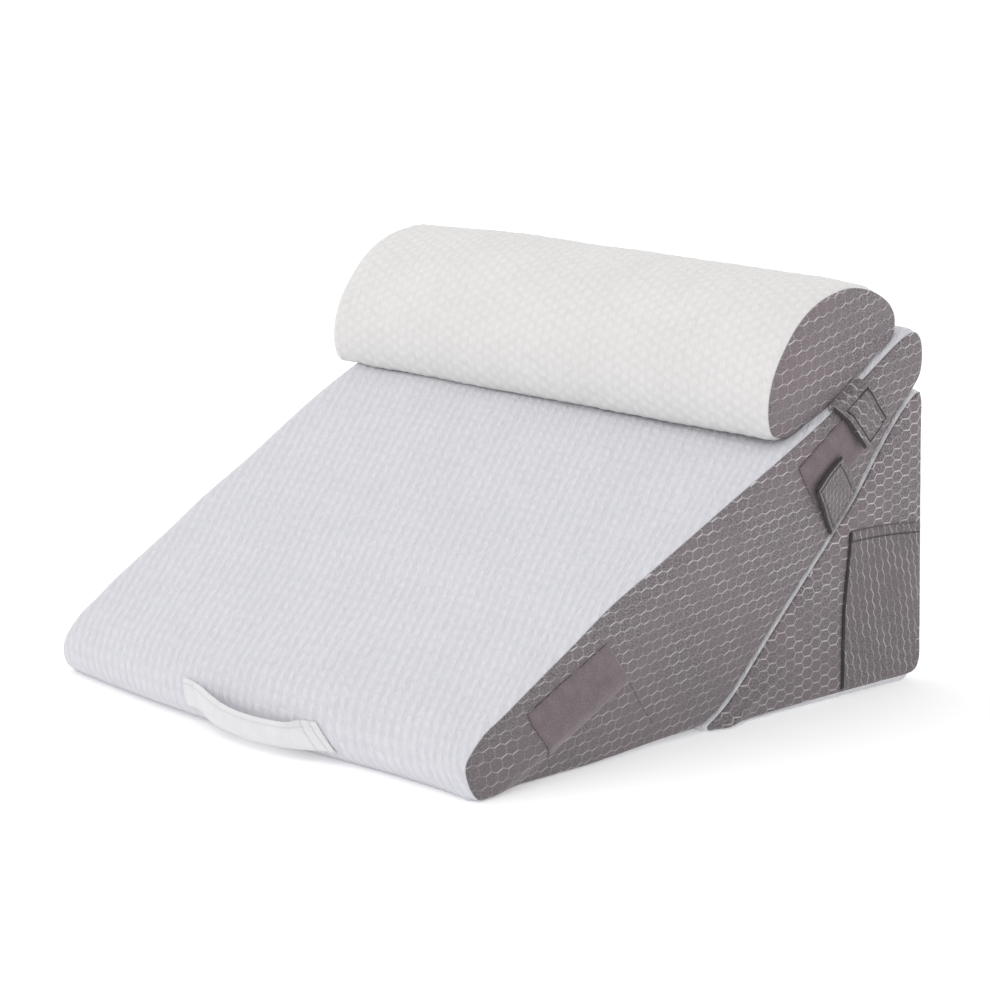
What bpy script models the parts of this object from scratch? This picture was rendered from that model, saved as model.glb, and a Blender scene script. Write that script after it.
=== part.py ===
"""Wedge pillow set: a long wedge on a triangular wedge, with a half-moon headrest on the slope.

Sizes are in millimetres in the tables and in metres in the meshes. X runs across the pillow, the
nose faces -Y, the tall back faces +Y and Z is up. The origin is the bottom centre of the whole.
"""
import math

import bpy
from mathutils import Vector
from mathutils.bvhtree import BVHTree

MM = 0.001
GAP = 0.4

FRONT_HALF = 257.0
REAR_HALF = 260.0
BOLSTER_LEFT = -277.0
BOLSTER_RIGHT = 242.0
PUFF = 2.6
DOME = 4.5
PANEL_THICK = 2.0

# Seam line of the front wedge's side, as y, z and how far the cover puffs out there as a share of
# PUFF, going round from the bottom of the nose. It puffs out least against the rear wedge.
FRONT_SEAM = [
    (-240.0, 0.5, 1.0), (-190.0, 0.6, 1.0), (-120.0, 1.6, 1.0), (-50.0, 4.8, 1.0),
    (2.0, 7.2, 0.3), (14.5, 12.6, 0.3), (31.0, 23.0, 0.3), (48.0, 37.5, 0.3), (67.0, 56.5, 0.3),
    (90.0, 79.0, 0.3), (122.0, 109.5, 0.3), (158.0, 143.0, 0.3), (190.0, 176.5, 0.3),
    (217.0, 209.5, 0.3), (236.0, 231.0, 0.3), (255.0, 249.0, 0.3), (265.5, 258.5, 0.3),
    (272.5, 268.0, 1.0), (274.5, 284.0, 1.0), (272.0, 296.5, 1.0), (264.5, 303.8, 1.0),
    (251.0, 301.0, 1.0), (205.0, 275.5, 1.0), (157.0, 247.0, 1.0), (102.0, 220.6, 1.0),
    (47.5, 196.2, 1.0), (-41.3, 155.6, 1.0), (-104.5, 127.0, 1.0), (-143.4, 104.7, 1.0),
    (-182.2, 83.2, 1.0), (-226.5, 58.4, 1.0), (-241.0, 51.2, 1.0), (-255.0, 39.2, 1.0),
    (-263.5, 28.0, 1.0), (-264.5, 13.0, 1.0), (-255.5, 3.0, 1.0),
]
# Seam line of the rear wedge's side, the same way, going round from its thin tip. The cover
# shows below the side panel, so its base puffs out most.
REAR_SEAM = [
    (9.0, 2.2, 1.0), (60.0, 3.4, 1.4), (120.0, 4.6, 1.9), (180.0, 5.4, 2.2), (230.0, 5.8, 2.4),
    (260.0, 6.2, 2.4), (269.5, 8.4, 1.6), (274.3, 15.5, 1.0), (274.8, 40.0, 1.0),
    (273.8, 90.0, 1.0), (272.6, 140.0, 1.0), (271.4, 190.0, 1.0), (270.8, 232.0, 1.0),
    (270.6, 245.5, 1.0), (268.6, 252.2, 0.8), (259.0, 247.6, 0.3), (236.0, 226.8, 0.3),
    (217.0, 205.3, 0.3), (190.0, 172.5, 0.3), (158.0, 140.0, 0.3), (122.0, 105.5, 0.3),
    (90.0, 75.0, 0.3), (67.0, 52.3, 0.3), (48.0, 33.3, 0.3), (31.0, 18.8, 0.3), (17.0, 9.8, 0.3),
    (8.0, 4.6, 0.5),
]
# Outline of the headrest's end, the same way, going round from the low front of the base.
BOLSTER_SEAM = [
    (114.0, 231.2, 1.0), (129.0, 233.0, 1.0), (150.5, 238.6, 1.0), (173.0, 245.8, 1.0),
    (192.0, 255.6, 1.0), (209.0, 265.0, 1.0), (227.0, 276.8, 1.0), (238.5, 291.5, 1.0),
    (249.5, 306.0, 1.0), (253.4, 319.0, 1.0), (248.0, 330.0, 1.0), (235.5, 339.6, 1.0),
    (217.5, 347.6, 1.0), (198.0, 351.2, 1.0), (178.5, 349.6, 1.0), (154.0, 342.2, 1.0),
    (132.6, 328.0, 1.0), (116.2, 308.6, 1.0), (104.6, 288.6, 1.0), (98.0, 267.3, 1.0),
    (97.6, 248.0, 1.0), (102.5, 235.2, 1.0),
]
# Loft stations, as distance in from the seam and share of the puff reached there.
STATIONS = [(0.0, 0.0), (3.5, 0.62), (11.0, 1.0), (34.0, 1.0)]
INNER_STATIONS = (0.62, 0.31, 0.0)
# Rings of a side panel, as size of the ring and share of the dome's height.
DOME_RINGS = [(1.0, 0.0), (0.9, 0.42), (0.55, 0.92)]

NOSE_CROWN = 17.0
NOSE_REACH = 120.0
NOSE_LEAN = 0.5
LEFT_LIFT = 17.0
TOP_CROWN = 2.0
PRESS = 4.0
BOLSTER_LIFT = -3.0
BOLSTER_YAW = 27.0
BOLSTER_SINK = 2.0
LEFT_END_SINK = 4.5
RIGHT_END_SINK = 2.2
REST_CLEAR = 0.8
REST_STEPS = (0.0, 7.0, 14.0, 20.0)
FLOOR_PRESS = 1.2

# The right end of the headrest spreads sideways where it is pressed on the slope: how far, over
# what length of the headrest, and the line of its base as start, direction and length.
SPREAD = 8.0
SPREAD_REACH = 60.0
BASE_START = (114.0, 231.0)
BASE_WAY = (0.845, 0.535)
BASE_LENGTH = 164.0

# Cloth of each piece, by how its name starts: colour and roughness.
CLOTHS = [
    ("front_wedge", (0.73, 0.73, 0.77), 0.85), ("rear_wedge", (0.66, 0.65, 0.67), 0.85),
    ("bolster_end", (0.22, 0.2, 0.205), 0.8), ("bolster", (0.8, 0.79, 0.77), 0.85),
    ("loop", (0.2, 0.165, 0.175), 0.95), ("carry_handle", (0.71, 0.69, 0.71), 0.8),
    ("", (0.22, 0.2, 0.205), 0.8),
]


def clear_scene():
    """Remove everything that the start file holds."""
    for item in list(bpy.data.objects):
        bpy.data.objects.remove(item, do_unlink=True)


def add_solid(name, points, faces):
    """Make one mesh object from points in millimetres."""
    mesh = bpy.data.meshes.new(name)
    mesh.from_pydata([(x * MM, y * MM, z * MM) for x, y, z in points], [], faces)
    mesh.validate()
    thing = bpy.data.objects.new(name, mesh)
    bpy.context.scene.collection.objects.link(thing)
    colour, roughness = next((row[1], row[2]) for row in CLOTHS if name.startswith(row[0]))
    cloth = bpy.data.materials.new(name)
    cloth.use_nodes = True
    shader = cloth.node_tree.nodes["Principled BSDF"]
    shader.inputs["Base Color"].default_value = (*colour, 1.0)
    shader.inputs["Roughness"].default_value = roughness
    shader.inputs["Metallic"].default_value = 0.0
    mesh.materials.append(cloth)
    return thing


def smoothstep(low, high, value):
    """Ease from 0 at low to 1 at high."""
    t = min(1.0, max(0.0, (value - low) / (high - low)))
    return t * t * (3.0 - 2.0 * t)


def centroid(ring):
    """Area centroid of a closed outline of points, by their y and z."""
    area = cy = cz = 0.0
    for (_, y0, z0), (_, y1, z1) in zip(ring, ring[1:] + ring[:1]):
        cross = y0 * z1 - y1 * z0
        area += cross
        cy += (y0 + y1) * cross
        cz += (z0 + z1) * cross
    return cy / (3.0 * area), cz / (3.0 * area)


def swell(seam, amount):
    """Move each point of an anticlockwise seam outward, as freely as its row says."""
    out = []
    count = len(seam)
    for i, (y, z, free) in enumerate(seam):
        ty = seam[(i + 1) % count][0] - seam[i - 1][0]
        tz = seam[(i + 1) % count][1] - seam[i - 1][1]
        length = math.hypot(ty, tz)
        out.append((y + amount * free * tz / length, z - amount * free * ty / length))
    return out


def left_share(x):
    """0 at the right end of the headrest and 1 at its left end."""
    return (BOLSTER_RIGHT - x) / (BOLSTER_RIGHT - BOLSTER_LEFT)


def front_shift(x, y, z):
    """Crown of the front wedge: a fuller nose, a slightly fuller top and the raised left edge."""
    across = x / FRONT_HALF
    middle = (1.0 - across * across) ** 0.8
    nose = 1.0 - smoothstep(-FRONT_HALF, -FRONT_HALF + NOSE_REACH, y)
    nose *= 1.0 - NOSE_LEAN * smoothstep(0.1, 0.8, across)
    lift = LEFT_LIFT * smoothstep(-150.0, 60.0, y) * (1.0 - across) * 0.5
    lift += TOP_CROWN * middle
    on = y + BOLSTER_YAW * left_share(x)
    pressed = smoothstep(88.0, 118.0, on) * (1.0 - smoothstep(186.0, 214.0, on))
    lift -= PRESS * pressed * (1.0 - smoothstep(236.0, 256.0, abs(x)))
    lift *= smoothstep(12.0, 45.0, z) * smoothstep(0.0, 60.0, z - y)
    return 0.0, -NOSE_CROWN * middle * nose * smoothstep(-14.0, 8.0, z), lift


def no_shift(x, y, z):
    """Leave the outline as it is."""
    return 0.0, 0.0, 0.0


def loft_rings(seam, left, right, shift, below):
    """Outlines of a stuffed body from its left seam to its right seam, as x and a ring of points.

    The body is pressed flat on the floor or, with something below it, up to what it lies on.
    """
    middle = 0.5 * (left + right)
    half = 0.5 * (right - left)
    stops = [(half - inset, share) for inset, share in STATIONS]
    stops += [(half * part, 1.0) for part in INNER_STATIONS]
    stops = [(-x, share) for x, share in stops[:-1]] + stops[::-1]
    rings = []
    for x, share in stops:
        ring = []
        for y, z in swell(seam, PUFF * share):
            dx, dy, dz = shift(middle + x, y, z)
            x_new, y_new, z_new = middle + x + dx, y + dy, z + dz
            if below:
                inward = -math.copysign(1.0, x)
                rest = max(top_height(below, x_new + inward * step, y_new) for step in REST_STEPS)
                z_new = max(z_new, rest + REST_CLEAR)
            elif z_new < FLOOR_PRESS:
                z_new = 0.0
            ring.append((x_new, y_new, z_new))
        rings.append((middle + x, ring))
    return rings


def dome_points(x_end, ring, side, out):
    """Rings and a centre point of a domed end, from the edge inward, moved out by a distance."""
    cy, cz = centroid(ring)
    rows = []
    for size, share in DOME_RINGS:
        level = x_end + side * (out + DOME * share)
        rows.append([(level + (x - x_end) * size * size, cy + (y - cy) * size, cz + (z - cz) * size)
                     for x, y, z in ring])
    return rows, (x_end + side * (out + DOME), cy, cz)


def stitch(faces, lower, upper, count, flip):
    """Join two rings of points by triangles, always with the same diagonals."""
    for i in range(count):
        j = (i + 1) % count
        for tri in ((lower + i, lower + j, upper + j), (lower + i, upper + j, upper + i)):
            faces.append(tri[::-1] if flip else tri)


def fan(faces, ring, centre, count, flip):
    """Close a ring onto a centre point."""
    for i in range(count):
        j = (i + 1) % count
        tri = (ring + i, ring + j, centre)
        faces.append(tri[::-1] if flip else tri)


def stuffed_body(name, seam, left, right, shift, below=None):
    """One filled body with puffed edges and domed ends, and its two end rings."""
    rings = loft_rings(seam, left, right, shift, below)
    count = len(seam)
    points = []
    faces = []
    for _, ring in rings:
        points += ring
    for i in range(len(rings) - 1):
        stitch(faces, i * count, (i + 1) * count, count, False)
    for side, index in ((-1, 0), (1, len(rings) - 1)):
        x_end, ring = rings[index]
        rows, centre = dome_points(x_end, ring, side, 0.0)
        last = index * count
        for row in rows[1:]:
            start = len(points)
            points += row
            stitch(faces, last, start, count, side < 0)
            last = start
        points.append(centre)
        fan(faces, last, len(points) - 1, count, side < 0)
    return add_solid(name, points, faces), rings[0], rings[-1]


def side_panel(name, ring_at, side):
    """A panel of cloth that follows the domed end of a body, a gap away from it."""
    x_end, ring = ring_at
    count = len(ring)
    points = []
    faces = []
    inner, inner_mid = dome_points(x_end, ring, side, GAP)
    outer, outer_mid = dome_points(x_end, ring, side, GAP + PANEL_THICK)
    rows = inner[::-1] + outer
    for row in rows:
        points += row
    for i in range(len(inner) - 1):
        stitch(faces, (i + 1) * count, i * count, count, side > 0)
    for i in range(len(inner) - 1, len(rows) - 1):
        stitch(faces, i * count, (i + 1) * count, count, side < 0)
    points.append(inner_mid)
    fan(faces, 0, len(points) - 1, count, side > 0)
    points.append(outer_mid)
    fan(faces, (len(rows) - 1) * count, len(points) - 1, count, side < 0)
    return add_solid(name, points, faces)


def surface_of(things):
    """A ray-testable surface of several objects together."""
    points = []
    faces = []
    for thing in things:
        start = len(points)
        points += [vertex.co.copy() for vertex in thing.data.vertices]
        faces += [[start + i for i in poly.vertices] for poly in thing.data.polygons]
    return BVHTree.FromPolygons(points, faces)


def side_height(tree, side, y, z):
    """How far out from the middle the surface lies round a point of the side."""
    reach = 0.0
    for dy, dz in SIDE_STEPS:
        start = Vector((side * 0.5, (y + dy) * MM, (z + dz) * MM))
        hit = tree.ray_cast(start, Vector((-side, 0.0, 0.0)))[0]
        if hit:
            reach = max(reach, abs(hit.x) / MM)
    return reach


def top_height(tree, x, y):
    """How high the surface lies under a point, with the floor where there is nothing."""
    hit = tree.ray_cast(Vector((x * MM, y * MM, 0.6)), Vector((0.0, 0.0, -1.0)))[0]
    return hit.z / MM if hit else 0.0


def bridge(heights):
    """Lift a run of heights so that stiff cloth spans the hollows."""
    out = list(heights)
    count = len(out)
    for i in range(count):
        for a in range(i):
            for b in range(i + 1, count):
                share = (i - a) / (b - a)
                out[i] = max(out[i], heights[a] + (heights[b] - heights[a]) * share)
    return out


def grid_solid(name, under, over):
    """A closed sheet from two grids of points of one size."""
    rows = len(under)
    cols = len(under[0])
    points = [p for row in under for p in row] + [p for row in over for p in row]
    top = rows * cols
    faces = []
    for i in range(rows - 1):
        for j in range(cols - 1):
            a = i * cols + j
            faces.append((a, a + cols, a + cols + 1, a + 1))
            faces.append((top + a, top + a + 1, top + a + cols + 1, top + a + cols))
    border = [j for j in range(cols)]
    border += [i * cols + cols - 1 for i in range(1, rows)]
    border += [(rows - 1) * cols + j for j in range(cols - 2, -1, -1)]
    border += [i * cols for i in range(rows - 2, 0, -1)]
    for k, a in enumerate(border):
        b = border[(k + 1) % len(border)]
        faces.append((a, b, top + b, top + a))
    return points, faces


def outward(points, faces):
    """Turn all faces over when the closed sheet came out inside out."""
    volume = 0.0
    for face in faces:
        a = Vector(points[face[0]])
        for i in range(1, len(face) - 1):
            volume += a.dot(Vector(points[face[i]]).cross(Vector(points[face[i + 1]])))
    return faces if volume > 0.0 else [tuple(reversed(face)) for face in faces]


def patch_on_side(name, tree, side, corners, cells, clearance, thick, puff=0.0, span=False):
    """A sheet lying on the side of the pillow; corners go round as y, z, from the start of u."""
    rows, cols = cells
    c00, c10, c11, c01 = corners
    under = []
    over = []
    for i in range(rows + 1):
        u = i / rows
        line = []
        for j in range(cols + 1):
            v = j / cols
            y = (1 - u) * ((1 - v) * c00[0] + v * c01[0]) + u * ((1 - v) * c10[0] + v * c11[0])
            z = (1 - u) * ((1 - v) * c00[1] + v * c01[1]) + u * ((1 - v) * c10[1] + v * c11[1])
            line.append((y, z, u, v))
        under.append(line)
    heights = [[side_height(tree, side, y, z) for y, z, u, v in line] for line in under]
    if span:
        columns = [bridge([row[j] for row in heights]) for j in range(cols + 1)]
        heights = [[columns[j][i] for j in range(cols + 1)] for i in range(rows + 1)]
    for i, line in enumerate(under):
        low = []
        high = []
        for j, (y, z, u, v) in enumerate(line):
            rise = puff * math.sin(math.pi * u) * math.sin(math.pi * v)
            base = heights[i][j] + clearance + rise
            low.append((side * base, y, z))
            high.append((side * (base + thick), y, z))
        under[i] = low
        over.append(high)
    points, faces = grid_solid(name, under, over)
    return add_solid(name, points, outward(points, faces))


# Corners of the pieces on the side, as y, z, going round.
LOOP_LOW = [(-202.0, 58.4), (-113.5, 100.6), (-89.1, 64.3), (-179.3, 20.2)]
LOOP_HIGH = [(111.8, 208.2), (194.2, 259.6), (217.1, 224.0), (134.7, 172.6)]
TAB_REAR = [(155.4, 144.6), (126.6, 189.0), (159.5, 212.2), (187.4, 179.6)]
LOOP_THICK = 1.6
LOOP_CELLS = (6, 3)
TAB_CELLS = (7, 4)
POCKET_CELLS = (6, 8)
TAB_THICK = 3.0
POCKET_THICK = 2.0
POCKET_RISE = 3.0
POCKET = [(169.8, 7.5), (269.8, 7.5), (269.4, 141.0), (178.3, 147.0)]

# Right headrest tab, by the run of its underside: x on the slope, where it comes out from under
# the headrest, then the way down the side. Its two long edges start at the y in TAB_TOP_ENDS and
# lean back along TAB_LEAN.
TAB_TOP_X = (254.8, 256.6)
TAB_DOWN = (5.0, 13.0, 23.0, 34.0, 45.0)
TAB_TOP_ENDS = (157.4, 190.0)
TAB_LEAN = (0.62, -0.785)
TAB_BEND = 1.6
TOP_STEPS = (-5.0, -2.5, 0.0, 2.5)
# The left headrest tab hangs straight down from the end of the headrest, which overhangs there.
TAB_LEFT = [(158.4, 253.0), (191.0, 214.0), (226.0, 238.0), (193.4, 277.0)]


def bolster_tab(name, tree, side):
    """The headrest's tab: out from under it, over the seam of the wedge and down the side."""
    cols = 4
    under = []
    for x in TAB_TOP_X:
        row = []
        for j in range(cols + 1):
            y = TAB_TOP_ENDS[0] + (TAB_TOP_ENDS[1] - TAB_TOP_ENDS[0]) * j / cols
            rest = max(top_height(tree, side * (x + step), y) for step in TOP_STEPS)
            row.append((side * x, y, rest + REST_CLEAR))
        under.append(row)
    edge = under[-1]
    bend = FRONT_HALF + PANEL_THICK + TAB_BEND
    corner = [(side * bend, y, z - GAP) for x, y, z in edge]
    under.append(corner)
    for down in TAB_DOWN:
        row = []
        for x, y, z in edge:
            y_new = y + TAB_LEAN[0] * down
            z_new = z + TAB_LEAN[1] * down
            row.append((side * (side_height(tree, side, y_new, z_new) + REST_CLEAR), y_new, z_new))
        under.append(row)
    over = []
    for i, row in enumerate(under):
        line = []
        for j, (x, y, z) in enumerate(row):
            before = Vector(under[max(0, i - 1)][j])
            after = Vector(under[min(len(under) - 1, i + 1)][j])
            along = (after - before).normalized()
            across = (Vector(row[min(cols, j + 1)]) - Vector(row[max(0, j - 1)])).normalized()
            normal = along.cross(across) * side
            if normal.x * side + normal.z < 0.0:
                normal = -normal
            normal.normalize()
            line.append(tuple(Vector((x, y, z)) + normal * TAB_THICK))
        over.append(line)
    points, faces = grid_solid(name, under, over)
    return add_solid(name, points, outward(points, faces))


# Carry handle, by stations along x: distance in front of the nose, and the heights of its edges.
HANDLE_X = (-63.0, -52.0, -38.0, -18.0, 5.0, 28.0, 52.0, 76.0, 96.0, 110.0, 119.0)
HANDLE_STAND = (0.0, 0.0, 3.0, 8.5, 11.5, 12.5, 11.5, 8.5, 3.0, 0.0, 0.0)
HANDLE_TOP = (36.0, 35.5, 34.5, 32.0, 29.5, 28.5, 28.5, 29.5, 31.0, 31.5, 32.0)
HANDLE_LOW = (15.0, 15.0, 13.5, 11.0, 9.0, 8.0, 8.0, 8.5, 9.5, 10.5, 10.5)
HANDLE_THICK = 2.4
NOSE_STEPS = (-4.0, 0.0, 4.0)
SIDE_STEPS = [(dy, dz) for dy in (-5.0, 0.0, 5.0) for dz in (-5.0, 0.0, 5.0)]


def front_reach(tree, x, z):
    """How far forward the nose lies at a point of its front."""
    hit = tree.ray_cast(Vector((x * MM, -0.6, z * MM)), Vector((0.0, 1.0, 0.0)))[0]
    return -hit.y / MM


def carry_handle(name, tree):
    """Strap on the nose, held at its two ends and bowed forward between them."""
    under = []
    over = []
    rows = 3
    for x, stand, top, low in zip(HANDLE_X, HANDLE_STAND, HANDLE_TOP, HANDLE_LOW):
        heights = [low + (top - low) * j / rows for j in range(rows + 1)]
        fronts = bridge([max(front_reach(tree, x, z + step) for step in NOSE_STEPS) for z in heights])
        under.append([(x, -(f + GAP + stand), z) for f, z in zip(fronts, heights)])
        over.append([(x, -(f + GAP + stand + HANDLE_THICK), z) for f, z in zip(fronts, heights)])
    points, faces = grid_solid(name, under, over)
    return add_solid(name, points, outward(points, faces))


def bolster_shift(x, y, z):
    """Turn the headrest, so that its left end lies further down the slope, and settle its ends."""
    share = left_share(x)
    high = smoothstep(270.0, 330.0, z)
    sink = BOLSTER_SINK + LEFT_END_SINK * (1.0 - smoothstep(10.0, 115.0, x - BOLSTER_LEFT))
    sink += RIGHT_END_SINK * (1.0 - smoothstep(8.0, 50.0, BOLSTER_RIGHT - x))
    along = ((y - BASE_START[0]) * BASE_WAY[0] + (z - BASE_START[1]) * BASE_WAY[1]) / BASE_LENGTH
    above = (z - BASE_START[1]) * BASE_WAY[0] - (y - BASE_START[0]) * BASE_WAY[1]
    pressed = smoothstep(0.1, 0.4, along) * (1.0 - smoothstep(0.8, 1.05, along))
    pressed *= 1.0 - smoothstep(0.0, 60.0, above)
    spread = SPREAD * pressed * (1.0 - smoothstep(0.0, SPREAD_REACH, BOLSTER_RIGHT - x))
    return spread, -BOLSTER_YAW * share, BOLSTER_LIFT * share - sink * high


def build():
    """Make every piece and set the whole on its bottom centre."""
    clear_scene()
    front, front_left, front_right = stuffed_body(
        "front_wedge", FRONT_SEAM, -FRONT_HALF, FRONT_HALF, front_shift)
    rear, rear_left, rear_right = stuffed_body(
        "rear_wedge", REAR_SEAM, -REAR_HALF, REAR_HALF, no_shift)
    panels = {}
    for side, hand, front_end, rear_end in (
            (-1, "left", front_left, rear_left), (1, "right", front_right, rear_right)):
        front_panel = side_panel("front_side_" + hand, front_end, side)
        panels[side] = [front_panel, side_panel("rear_side_" + hand, rear_end, side)]
    for side, hand in ((-1, "left"), (1, "right")):
        base = surface_of(panels[side] + [front, rear])
        low = patch_on_side("loop_low_" + hand, base, side, LOOP_LOW, LOOP_CELLS, GAP, LOOP_THICK)
        high = patch_on_side("loop_high_" + hand, base, side, LOOP_HIGH, LOOP_CELLS, GAP, LOOP_THICK)
        base = surface_of(panels[side] + [front, rear, low, high])
        patch_on_side("tab_rear_" + hand, base, side, TAB_REAR, TAB_CELLS, REST_CLEAR, TAB_THICK, span=True)
        if side > 0:
            bolster_tab("tab_bolster_right", base, side)
        else:
            patch_on_side(
                "tab_bolster_left", base, side, TAB_LEFT, TAB_CELLS, REST_CLEAR, TAB_THICK, span=True)
    base = surface_of(panels[1])
    patch_on_side("side_pocket", base, 1, POCKET, POCKET_CELLS, GAP, POCKET_THICK, puff=POCKET_RISE)
    carry_handle("carry_handle", surface_of([front]))
    below = surface_of([front] + panels[-1] + panels[1])
    _, bolster_left, bolster_right = stuffed_body(
        "bolster", BOLSTER_SEAM, BOLSTER_LEFT, BOLSTER_RIGHT, bolster_shift, below)
    side_panel("bolster_end_left", bolster_left, -1)
    side_panel("bolster_end_right", bolster_right, 1)
    points = [v.co for thing in bpy.data.objects for v in thing.data.vertices]
    low = [min(p[k] for p in points) for k in range(3)]
    high = [max(p[k] for p in points) for k in range(3)]
    move = Vector((-(low[0] + high[0]) / 2, -(low[1] + high[1]) / 2, -low[2]))
    for thing in bpy.data.objects:
        for vertex in thing.data.vertices:
            vertex.co += move
    print("moved by", [round(value * 1000, 3) for value in move])
    print("size", [round((b - a) * 1000, 2) for a, b in zip(low, high)])


build()
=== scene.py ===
"""Looks of the wedge pillow set: covers, side panels, headrest, tabs, pocket and strap.

Lengths in the tables are millimetres and each mesh is scaled to metres. X runs across the pillow,
the nose faces -Y and Z is up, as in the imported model.
"""
import math

import bpy
import numpy as np
from mathutils import Matrix, Vector
from mathutils.bvhtree import BVHTree


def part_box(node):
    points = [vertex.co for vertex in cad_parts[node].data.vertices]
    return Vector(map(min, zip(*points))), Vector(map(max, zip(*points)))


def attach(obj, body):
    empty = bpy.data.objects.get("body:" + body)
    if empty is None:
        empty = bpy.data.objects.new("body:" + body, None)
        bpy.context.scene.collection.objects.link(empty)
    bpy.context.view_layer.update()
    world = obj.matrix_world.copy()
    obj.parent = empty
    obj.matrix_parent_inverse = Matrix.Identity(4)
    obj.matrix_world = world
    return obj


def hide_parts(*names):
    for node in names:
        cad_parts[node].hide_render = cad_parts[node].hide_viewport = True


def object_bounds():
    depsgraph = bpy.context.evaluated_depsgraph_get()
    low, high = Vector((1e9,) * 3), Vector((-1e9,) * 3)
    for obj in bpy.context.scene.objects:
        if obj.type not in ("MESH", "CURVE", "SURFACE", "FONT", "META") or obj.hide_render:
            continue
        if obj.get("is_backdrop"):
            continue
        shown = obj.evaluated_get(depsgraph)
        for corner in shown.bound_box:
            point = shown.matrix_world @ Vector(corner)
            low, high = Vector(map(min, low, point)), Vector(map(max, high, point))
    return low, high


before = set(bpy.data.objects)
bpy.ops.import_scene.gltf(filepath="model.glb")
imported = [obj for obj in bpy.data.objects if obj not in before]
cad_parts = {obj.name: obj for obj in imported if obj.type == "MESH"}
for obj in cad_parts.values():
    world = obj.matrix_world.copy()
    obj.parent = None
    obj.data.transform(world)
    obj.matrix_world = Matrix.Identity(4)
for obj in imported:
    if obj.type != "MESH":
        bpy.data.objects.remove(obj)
cad_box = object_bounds()

MM = 0.001
BODY = "root"
RAY_FROM = 0.6

# Half widths of the wedges and the two ends of the headrest, as x.
FRONT_HALF = 257.0
REAR_HALF = 260.0
BOLSTER_LEFT = -277.0
BOLSTER_RIGHT = 242.0
# Covers: how far they puff out beside a seam, within what distance of it and how roundly, and how
# far from the seam their rows of mesh points lie.
PUFF = 2.6
PUFF_REACH = 11.0
PUFF_ROUND = 2.2
SEAM_STEPS = (0.0, 0.5, 1.2, 2.0, 3.0, 4.2, 5.6, 7.2, 9.0, 11.0)
# Ends: the height of the panels' dome and of the foam's under it, the rings of its mesh, the gap
# and thickness of the panels, how far in the left ones lie, and the size of their puckers.
DOME = 4.5
CORE_DOME = DOME - 0.6
DOME_SIZES = (0.99, 0.975, 0.955, 0.93, 0.9, 0.86, 0.81, 0.75, 0.68, 0.6, 0.5, 0.4, 0.3, 0.2, 0.1)
GAP = 0.4
PANEL_THICK = 2.0
LEFT_INSET = 2.6
PUCKER = 0.3
PUCKER_EDGES = (0.7, 0.97, 0.985, 1.0)
SWING = 0.35

# Seam line of the front wedge's side, as y, z and, where it isn't 1, how far the cover puffs out
# there as a share of PUFF, going round from the bottom of the nose.
FRONT_SEAM = [
    (-240, 0.5), (-190, 0.6), (-120, 1.6), (-50, 4.8), (2, 7.2, 0.3), (14.5, 12.6, 0.3),
    (31, 23, 0.3), (48, 37.5, 0.3), (67, 56.5, 0.3), (90, 79, 0.3), (122, 109.5, 0.3),
    (158, 143, 0.3), (190, 176.5, 0.3), (217, 209.5, 0.3), (236, 231, 0.3), (255, 249, 0.3),
    (265.5, 258.5, 0.3), (272.5, 268), (274.5, 284), (272, 296.5), (264.5, 303.8), (251, 301),
    (205, 275.5), (157, 247), (102, 220.6), (47.5, 196.2), (-41.3, 155.6), (-104.5, 127),
    (-143.4, 104.7), (-182.2, 83.2), (-226.5, 58.4), (-241, 51.2), (-255, 39.2), (-263.5, 28),
    (-264.5, 13), (-255.5, 3),
]
# Seam line of the rear wedge's side, the same way, going round from its thin tip. The cover
# shows below the side panel, so its base puffs out most.
REAR_SEAM = [
    (9, 2.2), (60, 3.4, 1.4), (120, 4.6, 1.9), (180, 5.4, 2.2), (230, 5.8, 2.4), (260, 6.2, 2.4),
    (269.5, 8.4, 1.6), (274.3, 15.5), (274.8, 40), (273.8, 90), (272.6, 140), (271.4, 190),
    (270.8, 232), (270.6, 245.5), (268.6, 252.2, 0.8), (259, 247.6, 0.3), (236, 226.8, 0.3),
    (217, 205.3, 0.3), (190, 172.5, 0.3), (158, 140, 0.3), (122, 105.5, 0.3), (90, 75, 0.3),
    (67, 52.3, 0.3), (48, 33.3, 0.3), (31, 18.8, 0.3), (17, 9.8, 0.3), (8, 4.6, 0.5),
]
# Outline of the headrest's end, the same way, going round from the low front of the base.
BOLSTER_SEAM = [
    (114, 231.2), (129, 233), (150.5, 238.6), (173, 245.8), (192, 255.6), (209, 265), (227, 276.8),
    (238.5, 291.5), (249.5, 306), (253.4, 319), (248, 330), (235.5, 339.6), (217.5, 347.6),
    (198, 351.2), (178.5, 349.6), (154, 342.2), (132.6, 328), (116.2, 308.6), (104.6, 288.6),
    (98, 267.3), (97.6, 248), (102.5, 235.2),
]

# Front wedge: the crown of its nose, how far back it reaches and how much of it is lost to the
# right, the toe of its right corner, the crown low on the left, the lift of the left edge, the crown
# of the top, and the dent under the headrest with where it begins and ends along y and across.
NOSE_CROWN = 17.0
NOSE_REACH = 120.0
NOSE_LEAN = 0.8
TOE = 6.0
LEFT_CROWN = 3.4
LOW_SLOPE = (-240.0, -205.0, -140.0, -40.0)
LEFT_LIFT = 17.0
TOP_CROWN = 2.0
PRESS = 4.0
DENT = (88.0, 118.0, 186.0, 214.0)
DENT_ENDS = (236.0, 256.0)

# Rear wedge: the spread of its base at the back right, and the rim of its cover under the panel.
FLARE = 13.0
FLARE_SLOPE = 1.15
RIM = 7.0

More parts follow.
